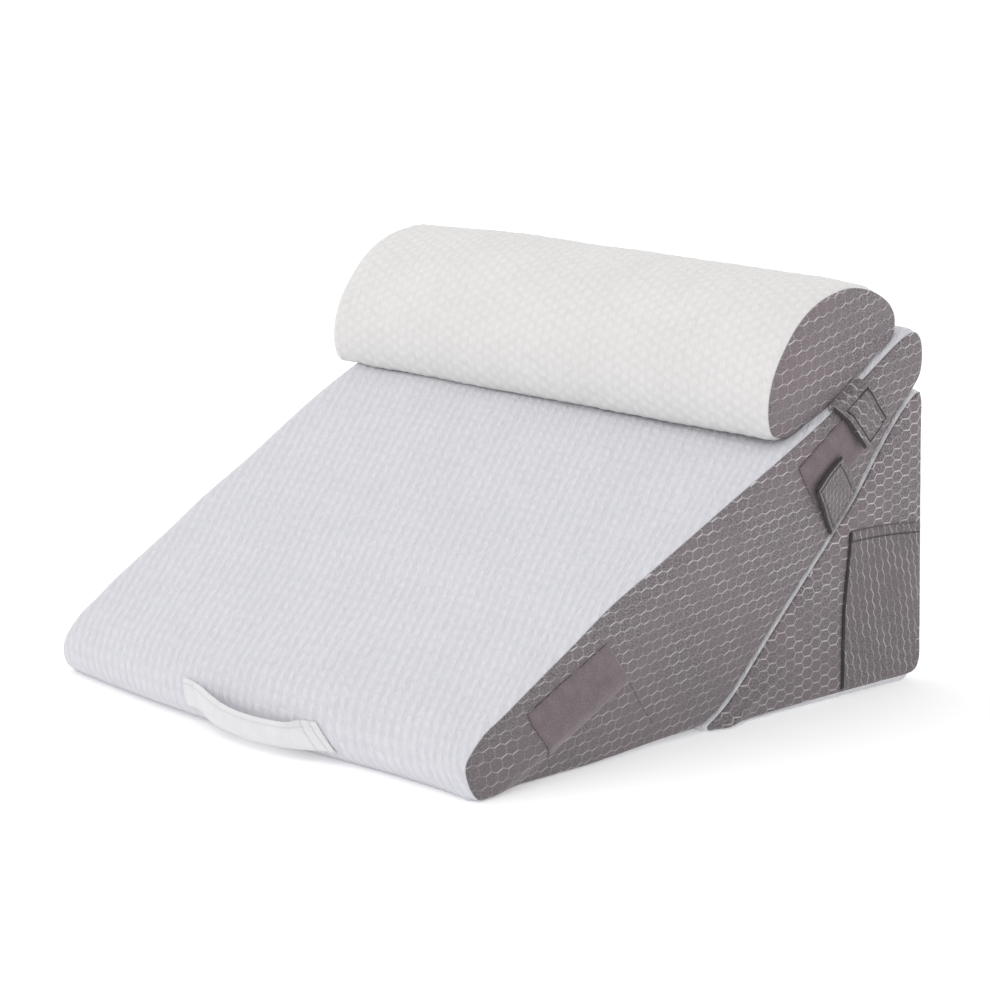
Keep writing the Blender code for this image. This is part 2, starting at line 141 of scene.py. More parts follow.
# Headrest: how far its left end is lower and further down the slope, how its top and its two ends
# settle, and how it rests on what lies below it, which is looked for a few steps inward too.
# The wedges are pressed flat on the floor instead, up to a height, with their edges off it.
BOLSTER_LIFT = -3.0
BOLSTER_YAW = 27.0
BOLSTER_SINK = 0.6
LEFT_END_SINK = 4.2
RIGHT_END_SINK = 2.2
REST_CLEAR = 0.8
REST_BELOW = 330.0
REST_STEPS = (0.0, 4.0, 8.0, 12.0, 16.0, 20.0)
FLOOR_PRESS = 1.2
EDGE_OFF_FLOOR = 1.4

# The right end of the headrest spreads sideways where it is pressed on the slope: how far, over
# what length of the headrest, and the line of its base as start, direction and length.
SPREAD = 9.5
SPREAD_REACH = 60.0
BASE_START = (114.0, 231.0)
BASE_WAY = (0.845, 0.535)
BASE_LENGTH = 164.0
BASE_PRESSED = (0.1, 0.4, 0.8, 1.05)

# Corners of the pieces on the side, as y, z, going round.
LOOP_LOW = [(-202.0, 58.4), (-113.5, 100.6), (-89.1, 64.3), (-179.3, 20.2)]
LOOP_HIGH = [(111.8, 208.2), (194.2, 259.6), (217.1, 224.0), (134.7, 172.6)]
TAB_REAR = [(155.4, 144.6), (126.6, 189.0), (159.5, 212.2), (187.4, 179.6)]
TAB_LEFT = [(158.4, 253.0), (191.0, 214.0), (226.0, 238.0), (193.4, 277.0)]
POCKET = [(162.4, 7.5), (255.0, 9.5), (262.5, 139.0), (174.4, 144.5)]
LOOP_THICK = 1.6
TAB_THICK = 3.0
TAB_FLAT = 2.7
CORNER_SOFT = 0.08
POCKET_THICK = 2.0
POCKET_RISE = 3.0
POCKET_HIGH = 0.5 * (math.dist(POCKET[3], POCKET[0]) + math.dist(POCKET[2], POCKET[1]))

# Distance between mesh points on each kind of piece.
FRONT_STEP = 4.0
REAR_STEP = 5.0
BOLSTER_STEP = 2.4
LOOP_STEP = 3.0
TAB_STEP = 1.3
POCKET_STEP = 2.2

REAR_BACK = 274.8
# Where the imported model's origin lies from the tables' own, read off the rear wedge.
REAR_LOW, REAR_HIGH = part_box("rear_wedge")
SHIFT = np.array([
    0.5 * (REAR_LOW[0] + REAR_HIGH[0]) / MM,
    REAR_HIGH[1] / MM - (REAR_BACK + PUFF),
    0.0,
])

# Right headrest tab: x of its run on the slope, how far it hangs down the side, and its two ends.
TAB_TOP_X = (254.8, 256.6)
TAB_DOWN = 45.0
TAB_TOP_ENDS = (160.0, 193.0)
TAB_LEAN = (0.62, -0.785)
TAB_BEND = 1.6
TOP_STEPS = (-5.0, -2.5, 0.0, 2.5)

# Carry handle: x, the heights of its two edges there and how far it stands off the nose. Then its
# thickness, its sewn lines and the slant of its two ends.
HANDLE = (
    (-63.0, 36.0, 15.0, 0.0), (-52.0, 35.5, 15.0, 0.0), (-38.0, 34.5, 13.5, 3.0),
    (-18.0, 32.0, 11.0, 8.5), (5.0, 29.5, 9.0, 11.5), (28.0, 28.5, 8.0, 12.5),
    (52.0, 28.5, 8.0, 11.5), (76.0, 29.5, 8.5, 8.5), (96.0, 31.0, 9.5, 3.0),
    (110.0, 31.5, 10.5, 0.0), (119.0, 32.0, 10.5, 0.0),
)
HANDLE_THICK = 2.4
HANDLE_STEP = 2.0
HANDLE_TACKS = (-50.0, 100.0, 111.0)
HANDLE_SKEW = (-11.0, -23.0)

# Camera, in degrees and metres, and the studio's light.
CAMERA_AZIMUTH = 46.4717
CAMERA_ELEVATION = 13.2576
CAMERA_AWAY = 3.28022
CAMERA_SIDE = 0.00929147
CAMERA_UP = 0.154991
CAMERA_LENS = 135.8367
WORLD_LIGHT = 1.0
FLOOR_GLOW = 0.2
FLOOR_HALF = 60.0
FLOOR_UNDER = 0.0002
LIT_POINT = (0.0, 0.0, 0.15)
LIGHTS = (
    ("key", (-2.2, -1.6, 2.9), 2.4, 17.0, (1.0, 0.99, 0.98)),
    ("fill", (2.6, -2.2, 1.1), 2.2, 7.0, (0.97, 0.98, 1.0)),
)

# Nets of the grey knits: their turn, then period, row, rise and shear, and how strong the rising
# thread, the falling thread and the links are.
FRONT_NET = (5.7, (11.4, 8.9, 0.95, 0.23), (1.0, 0.45, 0.7))
REAR_NET = (-2.0, (9.8, 10.6, 1.6, 0.0), (0.85, 0.8, 0.95))
END_NET = (12.5, (11.4, 10.3, 1.0, 0.19), (0.9, 0.4, 0.5))
TAB_NET = (33.0, (6.5, 6.0, 0.8, 0.0), (0.7, 0.3, 0.3))
OVER_NET = (17.0, (11.0, 9.0, 1.3, 0.0), (0.9, 0.9, 0.6))
POCKET_NET = (102.0, (11.5, 7.8, 1.1, 0.0), (0.8, 0.65, 0.15))
# Puffs of the covers: column, row and lean of the slope's, column, row and turn of the headrest's.
RIDGES = (10.3, 10.85, 0.479)
HEADREST_COLUMN = 9.6
HEADREST_ROW = 10.2
HEADREST_TURN = -5.0
HEADREST_RELIEF = 0.6

# Colours, how the cover's ridges sway, and up to what height painted shade darkens the knit at its foot.
WHITE = (0.68, 0.68, 0.715)
# The rear wedge's cover is the slope's white knit painted lighter, as painted light on its strip between
# the wedges and its rim under the side panel.
LIT_WRAP_WHITE = (0.79, 0.79, 0.815)
WHITE_SHADE = (0.53, 0.535, 0.575)
WARM_WHITE = (0.745, 0.735, 0.73)
WARM_SHADE = (0.58, 0.57, 0.56)
MAUVE = (0.180, 0.159, 0.169)
THREAD = (0.60, 0.57, 0.58)
WARM_TINT = (1.12, 1.02, 1.03)
KNIT_SHEEN = (0.9, 0.87, 0.88)
FELT_SHEEN = (0.95, 0.88, 0.9)
FELT_DARK = (0.118, 0.094, 0.104)
FELT_LIGHT = (0.235, 0.191, 0.206)
STRAP_WHITE = (0.73, 0.725, 0.74)
STRAP_SHADE = (0.63, 0.625, 0.645)
SWAY = 4.0
NOISE_APART = (91.0, 37.0)
FOOT_SHADE_REACH = 150.0
TURN = 2.0 * math.pi

# Sewn lines, as a strength and a path in a cloth's own layout, darkened as painted shade: round the
# low felt strip, on the tabs, on the pocket and on the strap. Lines along the edges of the tabs and
# the pocket are painted shadow.
CREASES = (
    (0.35, (-179.3, 20.2), (-175.3, 8.6)),
    (0.35, (-89.1, 64.3), (-72.1, 38.1)),
    (0.3, (-72.1, 38.1), (-59.5, 22.8)),
)
# Tab: three sides of its stitched square, then two lines along its edges as painted shadow.
TAB_SEAMS_AND_SHADOWS = (
    (0.45, (3.0, 4.6), (43.2, 4.6)),
    (0.6, (43.2, 4.6), (43.2, 38.6)),
    (0.9, (43.2, 38.6), (8.0, 38.6)),
    (0.9, (0.0, 0.2), (47.9, 0.2)),
    (0.9, (47.7, 0.0), (47.7, 43.8)),
)
# Headrest tab: its stitched square, then a line along its edge as painted shadow.
OVER_SEAMS_AND_SHADOWS = (
    (0.9, (13.5, 7.0), (13.5, 37.0), (50.0, 37.0), (50.0, 7.0), (13.5, 7.0)),
    (0.9, (6.0, 0.2), (54.0, 0.2)),
)
# Pocket: its hem line, then two lines along its front and top edges as painted shadow.
POCKET_SEAMS_AND_SHADOWS = (
    (0.75, (1.0, 126.6), (99.0, 126.6)),
    (0.9, (0.2, 0.0), (0.2, 136.0)),
    (0.9, (0.0, 136.3), (100.0, 136.3)),
)
# Strap: its hem and tack lines, darkened as painted shade.
STRAP_SEAMS = (
    (0.2, (0.0, 17.2), (170.0, 17.2)),
    (0.25, (14.0, 0.0), (14.0, 21.0)),
    (0.3, (168.0, 0.0), (168.0, 21.0)),
    (0.4, (180.0, 0.0), (180.0, 21.0)),
)


def smoothstep(low, high, value):
    """Ease from 0 at low to 1 at high, for numbers or arrays."""
    t = np.clip((value - low) / (high - low), 0.0, 1.0)
    return t * t * (3.0 - 2.0 * t)


def fade(low, high, value):
    """Ease from 1 at low to 0 at high."""
    return 1.0 - smoothstep(low, high, value)


def within(edges, value):
    """1 between the middle two of four edges, easing to 0 at the outer two."""
    return smoothstep(*edges[:2], value) * fade(*edges[2:], value)


def groove(value, place, width):
    """1 at a place and nearly 0 beyond a few widths from it."""
    return np.exp(-((value - place) / width) ** 2)


def stretch(near, share):
    """Point at a share of the way between the middle two of four rows, on a smooth curve."""
    knots = [0.0]
    for a, b in zip(near, near[1:]):
        knots.append(knots[-1] + math.sqrt(math.hypot(b[0] - a[0], b[1] - a[1])))
    t = knots[1] + (knots[2] - knots[1]) * share
    points = list(near)
    for reach in (1, 2):
        points = [
            points[k] + (points[k + 1] - points[k]) * (t - knots[k]) / (knots[k + reach] - knots[k])
            for k in range(len(points) - 1)
        ]
    return points[0] + (points[1] - points[0]) * (t - knots[1]) / (knots[2] - knots[1])


def closed_curve(table, step):
    """Smooth closed curve through the rows of a table, with a point about every step."""
    rows = [np.array((*row, 1.0)[:3], float) for row in table]
    count = len(rows)
    out = []
    for i in range(count):
        near = [rows[(i + k) % count] for k in (-1, 0, 1, 2)]
        pieces = max(1, round(math.hypot(*(near[2] - near[1])[:2]) / step))
        out += [stretch(near, k / pieces) for k in range(pieces)]
    return np.array(out)


def open_curve(rows, step):
    """Smooth open curve through rows, with a point about every step along the first two numbers."""
    rows = [np.array(row, float) for row in rows]
    rows = [2 * rows[0] - rows[1]] + rows + [2 * rows[-1] - rows[-2]]
    out = []
    for i in range(1, len(rows) - 2):
        pieces = max(1, round(math.hypot(*(rows[i + 1] - rows[i])[:2]) / step))
        out += [stretch(rows[i - 1:i + 3], k / pieces) for k in range(pieces)]
    return np.array(out + [rows[-2]])


def swell(curve, amount):
    """Curve moved outward by an amount times its own freedom, as y, z."""
    tangent = np.roll(curve[:, :2], -1, 0) - np.roll(curve[:, :2], 1, 0)
    tangent /= np.linalg.norm(tangent, axis=1)[:, None]
    outward = np.stack([tangent[:, 1], -tangent[:, 0]], 1)
    return curve[:, :2] + amount * curve[:, 2:3] * outward


def lengths_along(curve):
    """Distance along a closed curve at each point, with the whole length at the end."""
    steps = np.linalg.norm(np.roll(curve[:, :2], -1, 0) - curve[:, :2], axis=1)
    return np.concatenate([[0.0], np.cumsum(steps)])


def front_shift(x, y, z):
    """Crown of the front wedge: a fuller nose and top, the raised left edge, the dent of the headrest."""
    across = x / FRONT_HALF
    middle = np.clip(1.0 - across * across, 0.0, 1.0) ** 0.8
    nose = fade(-FRONT_HALF, -FRONT_HALF + NOSE_REACH, y)
    nose = nose * (1.0 - NOSE_LEAN * smoothstep(0.1, 0.8, across))
    lift = LEFT_LIFT * smoothstep(-150.0, 60.0, y) * (1.0 - across) * 0.5 + TOP_CROWN * middle
    on = y + BOLSTER_YAW * (BOLSTER_RIGHT - x) / (BOLSTER_RIGHT - BOLSTER_LEFT)
    pressed = within(DENT, on)
    lift = lift - PRESS * pressed * fade(*DENT_ENDS, abs(x))
    low_slope = within(LOW_SLOPE, y)
    lift = lift + LEFT_CROWN * low_slope * (0.5 - 0.5 * across) ** 2
    lift = lift * smoothstep(12.0, 45.0, z) * smoothstep(0.0, 60.0, z - y)
    toe = TOE * smoothstep(0.85, 1.0, across) * fade(6.0, 30.0, z)
    toe = toe * fade(-248.0, -205.0, y)
    return 1.5 * toe, -NOSE_CROWN * middle * nose * smoothstep(-14.0, 8.0, z), lift - 0.5 * toe


def rear_shift(x, y, z):
    """Spread of the rear wedge's base at its back right corner, and the rolled rim of its cover."""
    low = 1.0 - z / (FLARE_SLOPE * np.maximum(y, 30.0))
    behind = np.clip(y / REAR_BACK, 0.0, 1.0) * np.clip(low, 0.0, 1.0)
    flare = FLARE * behind * smoothstep(60.0, REAR_HALF, x)
    near = smoothstep(REAR_HALF - 9.0, REAR_HALF - 1.5, abs(x))
    rim = RIM * near * fade(0.8, 3.2, z) * smoothstep(14.0, 34.0, y)
    return flare + np.sign(x) * rim, -flare, 0.0


def bolster_shift(x, y, z):
    """Turn the headrest, so that its left end lies further down the slope, and settle its ends."""
    share = (BOLSTER_RIGHT - x) / (BOLSTER_RIGHT - BOLSTER_LEFT)
    high = smoothstep(270.0, 330.0, z)
    sink = BOLSTER_SINK + LEFT_END_SINK * fade(10.0, 115.0, x - BOLSTER_LEFT)
    sink += RIGHT_END_SINK * fade(8.0, 50.0, BOLSTER_RIGHT - x)
    along = ((y - BASE_START[0]) * BASE_WAY[0] + (z - BASE_START[1]) * BASE_WAY[1]) / BASE_LENGTH
    above = (z - BASE_START[1]) * BASE_WAY[0] - (y - BASE_START[0]) * BASE_WAY[1]
    pressed = within(BASE_PRESSED, along)
    pressed *= fade(0.0, 60.0, above)
    near_end = fade(0.0, SPREAD_REACH, BOLSTER_RIGHT - x)
    return SPREAD * pressed * near_end, -BOLSTER_YAW * share, BOLSTER_LIFT * share - sink * high


def waves(count, seed, shortest, longest):
    """Fixed random waves for a slightly uneven surface: direction, length and start of each."""
    rng = np.random.default_rng(seed)
    turn = rng.uniform(0.0, 2.0 * math.pi, count)
    pitch = rng.uniform(shortest, longest, count)
    start = rng.uniform(0.0, 2.0 * math.pi, count)
    return np.stack([np.cos(turn) / pitch, np.sin(turn) / pitch, start], 1)


def uneven(table, u, v):
    """Sum of the waves at u, v, about -1 to 1."""
    total = 0.0
    for a, b, start in table:
        total = total + np.sin(2.0 * math.pi * (a * u + b * v) + start)
    return total / math.sqrt(2.0 * len(table))


def hex_distance(u, v, column, row, most=np.maximum, least=np.minimum):
    """0 in the middle of a hexagon and 0.5 on its border; columns along u, rows along v."""
    found = []
    for offset in (0.0, 0.5):
        x = abs((u / (2.0 * column) + offset) % 1.0 - 0.5) * math.sqrt(3.0)
        y = abs((v / row + offset) % 1.0 - 0.5)
        found.append(most(y, x * math.sqrt(0.75) + y * 0.5))
    return least(*found)


def in_scene(name, data):
    """A new object in the scene."""
    thing = bpy.data.objects.new(name, data)
    bpy.context.scene.collection.objects.link(thing)
    return thing


def new_piece(name, points, faces, loops, material):
    """Mesh piece over the node of its name, with a cloth layout in metres."""
    mesh = bpy.data.meshes.new(name + "_cloth")
    mesh.from_pydata(((points + SHIFT) * MM).tolist(), [], [list(face) for face in faces])
    layout = mesh.uv_layers.new(name="cloth")
    flat = np.array([uv for face in loops for uv in face]) * MM
    layout.data.foreach_set("uv", flat.astype(np.float32).ravel())
    mesh.polygons.foreach_set("use_smooth", [True] * len(mesh.polygons))
    piece = in_scene(name + "_cloth", mesh)
    piece.data.materials.append(material)
    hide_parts(name)
    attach(piece, BODY)
    return piece


def stations_across(half, step):
    """Places across a stuffed body from its middle, closer together near its seams."""
    near = [half - d for d in SEAM_STEPS]
    pieces = round(2.0 * near[-1] / step)
    middle = np.linspace(-near[-1], near[-1], pieces + 1)
    return np.concatenate([-np.array(near[:-1]), middle, np.array(near[:-1])[::-1]])


def dome_share(size):
    """Height of a domed end at a ring of some size, as a share of the height in its middle."""
    return 1.0 - size ** 5


def centre_and_area(ring):
    """Centroid and area of a closed outline."""
    after = np.roll(ring, -1, 0)
    cross = ring[:, 0] * after[:, 1] - after[:, 0] * ring[:, 1]
    return ((ring + after) * cross[:, None]).sum(0) / (3.0 * cross.sum()), 0.5 * abs(cross.sum())


def ring_faces(lower, upper, count, flip):
    """Quads between two rings of points."""
    i = np.arange(count)
    j = (i + 1) % count
    quads = np.stack([lower + i, lower + j, upper + j, upper + i], 1)
    return (quads[:, ::-1] if flip else quads).tolist()


def stuffed_body(name, seam, left, right, shift, relief, material, step, below=None):
    """A filled body: puffed along its seams, crowned, uneven as stuffed cloth is, with domed ends."""
    middle = 0.5 * (left + right)
    half = 0.5 * (right - left)
    curve = closed_curve(seam, step)
    along = lengths_along(curve)
    count = len(curve)
    rows = []
    for x in stations_across(half, step):
        inset = half - abs(x)
        share = 1.0 - (1.0 - min(1.0, inset / PUFF_REACH)) ** PUFF_ROUND
        ring = swell(curve, PUFF * share)
        dx, dy, dz = shift(middle + x, ring[:, 0], ring[:, 1])
        rows.append(np.column_stack([np.full(count, middle + x) + dx, ring[:, 0] + dy, ring[:, 1] + dz]))
    grid = np.array(rows)
    around = np.broadcast_to(along[:-1], grid.shape[:2])
    grid = relief(grid, around, half - abs(grid[..., 0] - middle))
    if below is None:
        edge = min(grid[0, :, 2].min(), grid[-1, :, 2].min())
        grid[..., 2] = np.where(grid[..., 2] < FLOOR_PRESS, 0.0, grid[..., 2])
        grid[(0, -1), :, 2] = np.maximum(grid[(0, -1), :, 2], max(edge, EDGE_OFF_FLOOR))
    else:
        rest_on(grid, below, middle)
    across = grid[:, 0, 0] - left
    points = [grid.reshape(-1, 3)]
    faces = []
    loops = []
    for i in range(len(grid) - 1):
        a, b = across[i], across[i + 1]
        faces += ring_faces(i * count, (i + 1) * count, count, False)
        loops += [[(a, low), (a, high), (b, high), (b, low)] for low, high in zip(along, along[1:])]
    total = len(grid) * count
    for side, index, x_end in ((-1, 0, left), (1, len(grid) - 1, right)):
        ring = grid[index]
        centre = centre_and_area(ring[:, 1:])[0]
        last = index * count
        for size in DOME_SIZES[::2]:
            out = x_end + (ring[:, 0] - x_end) * size * size + side * CORE_DOME * dome_share(size)
            points.append(np.column_stack([out, centre + (ring[:, 1:] - centre) * size]))
            faces += ring_faces(last, total, count, side < 0)
            last = total
            total += count
        points.append(np.array([[x_end + side * CORE_DOME, *centre]]))
        faces += [(last + i, last + (i + 1) % count, total)[::side] for i in range(count)]
        total += 1
    loops += [[(0.0, 0.0)] * len(face) for face in faces[len(loops):]]
    piece = new_piece(name, np.concatenate(points), faces, loops, material)
    return piece, [(left, grid[0]), (right, grid[-1])]


def rest_on(grid, below, middle):
    """Lift what would sink into the things below onto them, a little clear."""
    for row in grid:
        inward = -1.0 if row[0, 0] > middle else 1.0
        for point in row:
            if point[2] > REST_BELOW:
                continue
            rest = max(top_height(below, point[0] + inward * step, point[1]) for step in REST_STEPS)
            point[2] = max(point[2], rest + REST_CLEAR)


def tree_of(pieces):
    """One ray-testable surface of several pieces."""
    points = []
    faces = []
    for piece in pieces:
        start = len(points)
        points += [vertex.co.copy() for vertex in piece.data.vertices]
        faces += [[start + i for i in poly.vertices] for poly in piece.data.polygons]
    return BVHTree.FromPolygons(points, faces)


def ray(tree, start, way):
    """Where a ray first meets a surface, in the tables' millimetres, or None."""
    hit = tree.ray_cast(Vector(start), Vector(way))[0]
    return Vector(hit / MM) - Vector(SHIFT) if hit else None


def top_height(tree, x, y):
    """Height of the surface under a point."""
    hit = ray(tree, ((x + SHIFT[0]) * MM, (y + SHIFT[1]) * MM, RAY_FROM), (0.0, 0.0, -1.0))
    return hit.z if hit else 0.0


def side_reach(tree, side, y, z):
    """How far out the surface lies at a point of the side."""
    hit = ray(tree, (side * RAY_FROM, (y + SHIFT[1]) * MM, z * MM), (-side, 0.0, 0.0))
    return side * hit.x if hit else 0.0


def front_reach(tree, x, z):
    """How far forward the surface lies at a point of the front."""
    return -ray(tree, ((x + SHIFT[0]) * MM, -RAY_FROM, z * MM), (0.0, 1.0, 0.0)).y


def side_panel(name, end, side, material, inset=0.0):
    """A panel of cloth over the domed end of a body, with a turned edge and puckers at its seam.

    With an inset its edge lies in from the body's seam, so that the body's cover shows round it.
    """
    x_end, ring = end
    lean = ring[:, 0] - x_end
    flat = ring[:, 1:]
    if inset:
        flat = swell(np.column_stack([flat, np.ones(len(flat))]), -inset)
    centre, area = centre_and_area(flat)
    count = len(ring)
    along = lengths_along(flat)[:-1]
    profile = [(size, GAP, dome_share(size)) for size in DOME_SIZES[::-3]]
    profile += [(1.0, GAP, 0.0), (1.0015, GAP + 0.8, 0.0), (0.998, GAP + 1.6, 0.0)]
    profile += [(size, GAP + PANEL_THICK, dome_share(size)) for size in DOME_SIZES]
    points = []
    for size, out, share in profile:
        outer = 1.0 if out > GAP + 1.0 else 0.0
        near_edge = within(PUCKER_EDGES, size)
        wrinkle = PUCKER * uneven(SEAM_WAVES, along, 0.0 * along) * outer * near_edge
        place = centre + (flat - centre) * size
        swing = SWING * uneven(BROAD_WAVES, place[:, 0], place[:, 1]) * outer * (1.0 - size ** 6)
        x = x_end + lean * size * size + side * (out + DOME * share + wrinkle + swing)
        points.append(np.column_stack([x, place]))
    faces = []
    for i in range(len(profile) - 1):
        faces += ring_faces(i * count, (i + 1) * count, count, side < 0)
    total = len(profile) * count
    for index, out in ((0, GAP), (len(profile) - 1, GAP + PANEL_THICK)):
        points.append(np.array([[x_end + side * (out + DOME), *centre]]))
        for i in range(count):
            tri = (index * count + i, index * count + (i + 1) % count, total)
            faces.append(tri[::-1] if (side < 0) == (index > 0) else tri)
        total += 1
    points = np.concatenate(points)
    loops = [[tuple(points[i, 1:]) for i in face] for face in faces]
    piece = new_piece(name, points, faces, loops, material)
    width, length = (float(value) * MM for value in flat.max(0) - flat.min(0))
    return piece


def rounded(u, v, soft):
    """Square pulled in at its corners, with u and v from -1 to 1."""
    return u * np.sqrt(1.0 - soft * v * v / 2.0), v * np.sqrt(1.0 - soft * u * u / 2.0)


def sheet_piece(name, under, over, layout, material, bulge=0.5):
    """A closed sheet from two grids of points, with a rounded edge all round."""
    rows, cols = under.shape[:2]
    border = [(0, j) for j in range(cols)] + [(i, cols - 1) for i in range(1, rows)]
    border += [(rows - 1, j) for j in range(cols - 2, -1, -1)]
    border += [(i, 0) for i in range(rows - 2, 0, -1)]
    index = [i * cols + j for i, j in border]
    low = under.reshape(-1, 3)
    high = over.reshape(-1, 3)
    middle = 0.5 * (under + over)
    centre = middle.reshape(-1, 3)[index]
    thick = np.linalg.norm(high[index] - low[index], axis=1)[:, None]
    inner = np.array([middle[min(max(i, 1), rows - 2), min(max(j, 1), cols - 2)] for i, j in border])
    away = centre - inner
    away /= np.maximum(np.linalg.norm(away, axis=1)[:, None], 1e-6)
    rim = centre + away * thick * bulge
    points = np.concatenate([low, high, rim])
    top = rows * cols
    flat = layout.reshape(-1, 2)
    flat = np.concatenate([flat, flat, flat[index]])
    faces = []
    for i in range(rows - 1):
        for j in range(cols - 1):
            a = i * cols + j
            faces.append((a, a + cols, a + cols + 1, a + 1))
            faces.append((top + a, top + a + 1, top + a + cols + 1, top + a + cols))
    for k, a in enumerate(index):
        b = index[(k + 1) % len(index)]
        m, n = 2 * top + k, 2 * top + (k + 1) % len(index)
        faces.append((a, b, n, m))
        faces.append((m, n, top + b, top + a))
    faces = facing_out(points, faces)
    loops = [[tuple(flat[i]) for i in face] for face in faces]
    return new_piece(name, points, faces, loops, material)


def facing_out(points, faces):
    """Turn all faces over when the closed sheet came out inside out."""
    quads = np.array(faces)
    a, b, c, d = (points[quads[:, k]] for k in range(4))
    volume = np.einsum("ij,ij->i", a, np.cross(b, c)).sum() + np.einsum("ij,ij->i", a, np.cross(c, d)).sum()
    return faces if volume > 0.0 else [face[::-1] for face in faces]


def corner_grid(corners, step, soft):
    """Grid over four corners, given as y, z going round from the start of u, with its own lengths."""
    c00, c10, c11, c01 = (np.array(corner) for corner in corners)
    long_side = 0.5 * (np.linalg.norm(c10 - c00) + np.linalg.norm(c11 - c01))
    short_side = 0.5 * (np.linalg.norm(c01 - c00) + np.linalg.norm(c11 - c10))
    rows, cols = max(4, round(long_side / step)), max(4, round(short_side / step))
    v, u = np.meshgrid(np.linspace(-1.0, 1.0, cols + 1), np.linspace(-1.0, 1.0, rows + 1))
    a, b = rounded(u, v, soft)
    a, b = ((0.5 + 0.5 * a)[..., None], (0.5 + 0.5 * b)[..., None])
    place = (1 - a) * ((1 - b) * c00 + b * c01) + a * ((1 - b) * c10 + b * c11)
    layout = np.stack([(0.5 + 0.5 * u) * long_side, (0.5 + 0.5 * v) * short_side], -1)
    return place, layout, (long_side, short_side)


def bridge(heights):
    """Lift a run of heights so that stiff cloth spans the hollows in it."""
    out = np.array(heights, float)
    hull = []
    for i, h in enumerate(heights):
        while len(hull) > 1:
            (a, ha), (b, hb) = hull[-2], hull[-1]
            if (hb - ha) * (i - a) > (h - ha) * (b - a):
                break
            hull.pop()
        hull.append((i, h))
    for (a, ha), (b, hb) in zip(hull, hull[1:]):
        for i in range(a, b + 1):
            out[i] = ha + (hb - ha) * (i - a) / (b - a)
    return out


def edge_inset(layout, sides):
    """Distance in from the edge of a grid at each of its points."""
    u, v = layout[..., 0], layout[..., 1]
    return np.minimum(np.minimum(u, sides[0] - u), np.minimum(v, sides[1] - v))


def side_patch(name, tree, side, corners, step, clear, thick, material, rise,
               span=False):
    """A sheet lying on the side of the pillow."""
    place, layout, sides = corner_grid(corners, step, CORNER_SOFT)
    reach = np.array([[side_reach(tree, side, y, z) for y, z in row] for row in place])
    if span:
        reach = np.array([bridge(column) for column in reach.T]).T
        reach = np.array([bridge(row) for row in reach])
    inset = edge_inset(layout, sides)
    low = reach + clear
    high = low + thick
    lift, carve = rise(layout[..., 0] / sides[0], layout[..., 1] / sides[1], inset)
    low = low + lift
    high = high + lift + carve
    under = np.stack([side * low, place[..., 0], place[..., 1]], -1)
    over = np.stack([side * high, place[..., 0], place[..., 1]], -1)
    piece = sheet_piece(name, under, over, layout, material)
    sides[1] * MM
    sides[0] * MM
    return piece


def bent_tab(name, tree, material):
    """The headrest's right tab: out from under it, over the seam of the wedge and down the side."""
    cols = 26
    top = np.linspace(TAB_TOP_X[0], TAB_TOP_X[1], 6)
    down = np.concatenate([np.arange(3.0, 12.0, 1.5), np.arange(13.0, TAB_DOWN + 0.1, 1.6)])
    ys = np.linspace(TAB_TOP_ENDS[0], TAB_TOP_ENDS[1], cols + 1)
    under = [[(x, y, max(top_height(tree, x + s, y) for s in TOP_STEPS) + REST_CLEAR) for y in ys]
             for x in top]
    edge = under[-1]
    bend = FRONT_HALF + PANEL_THICK + TAB_BEND
    for share in (0.35, 0.75, 1.0):
        turn = share * math.pi / 2.0
        under.append([(x + (bend - x) * math.sin(turn), y, z - GAP - 1.2 * (1 - math.cos(turn)))
                      for x, y, z in edge])
    for d in down:
        row = [(y + TAB_LEAN[0] * d, z + TAB_LEAN[1] * d) for _, y, z in edge]
        under.append([(side_reach(tree, 1, y, z) + REST_CLEAR, y, z) for y, z in row])
    under = np.array(under)
    steps = np.linalg.norm(np.diff(under[:, cols // 2], axis=0), axis=1)
    run = np.concatenate([[0.0], np.cumsum(steps)])
    wide = float(np.linalg.norm(under[0, -1] - under[0, 0]))
    v, u = np.meshgrid(np.linspace(0.0, wide, cols + 1), run)
    layout = np.stack([u, v], -1)
    hang = 2.4 * smoothstep(0.2, 0.8, u / run[-1]) * fade(0.0, 0.8, v / wide)
    hang += 0.8 * smoothstep(0.7, 1.0, u / run[-1])
    under[..., 0] += hang * smoothstep(len(top) + 3, len(top) + 8, np.arange(len(under)))[:, None]
    normal = np.cross(np.gradient(under, axis=0), np.gradient(under, axis=1))
    normal /= np.linalg.norm(normal, axis=2)[..., None]
    facing = np.sign((normal[..., 0] + 0.3 * normal[..., 2]))[..., None]
    inset = edge_inset(layout, (run[-1], wide))
    thick = TAB_THICK - 0.7 * groove(inset, 4.2, 0.7) + 0.3 * smoothstep(4.2, 2.0, inset)
    over = under + normal * facing * thick[..., None]
    piece = sheet_piece(name, under, over, layout, material)
    return piece


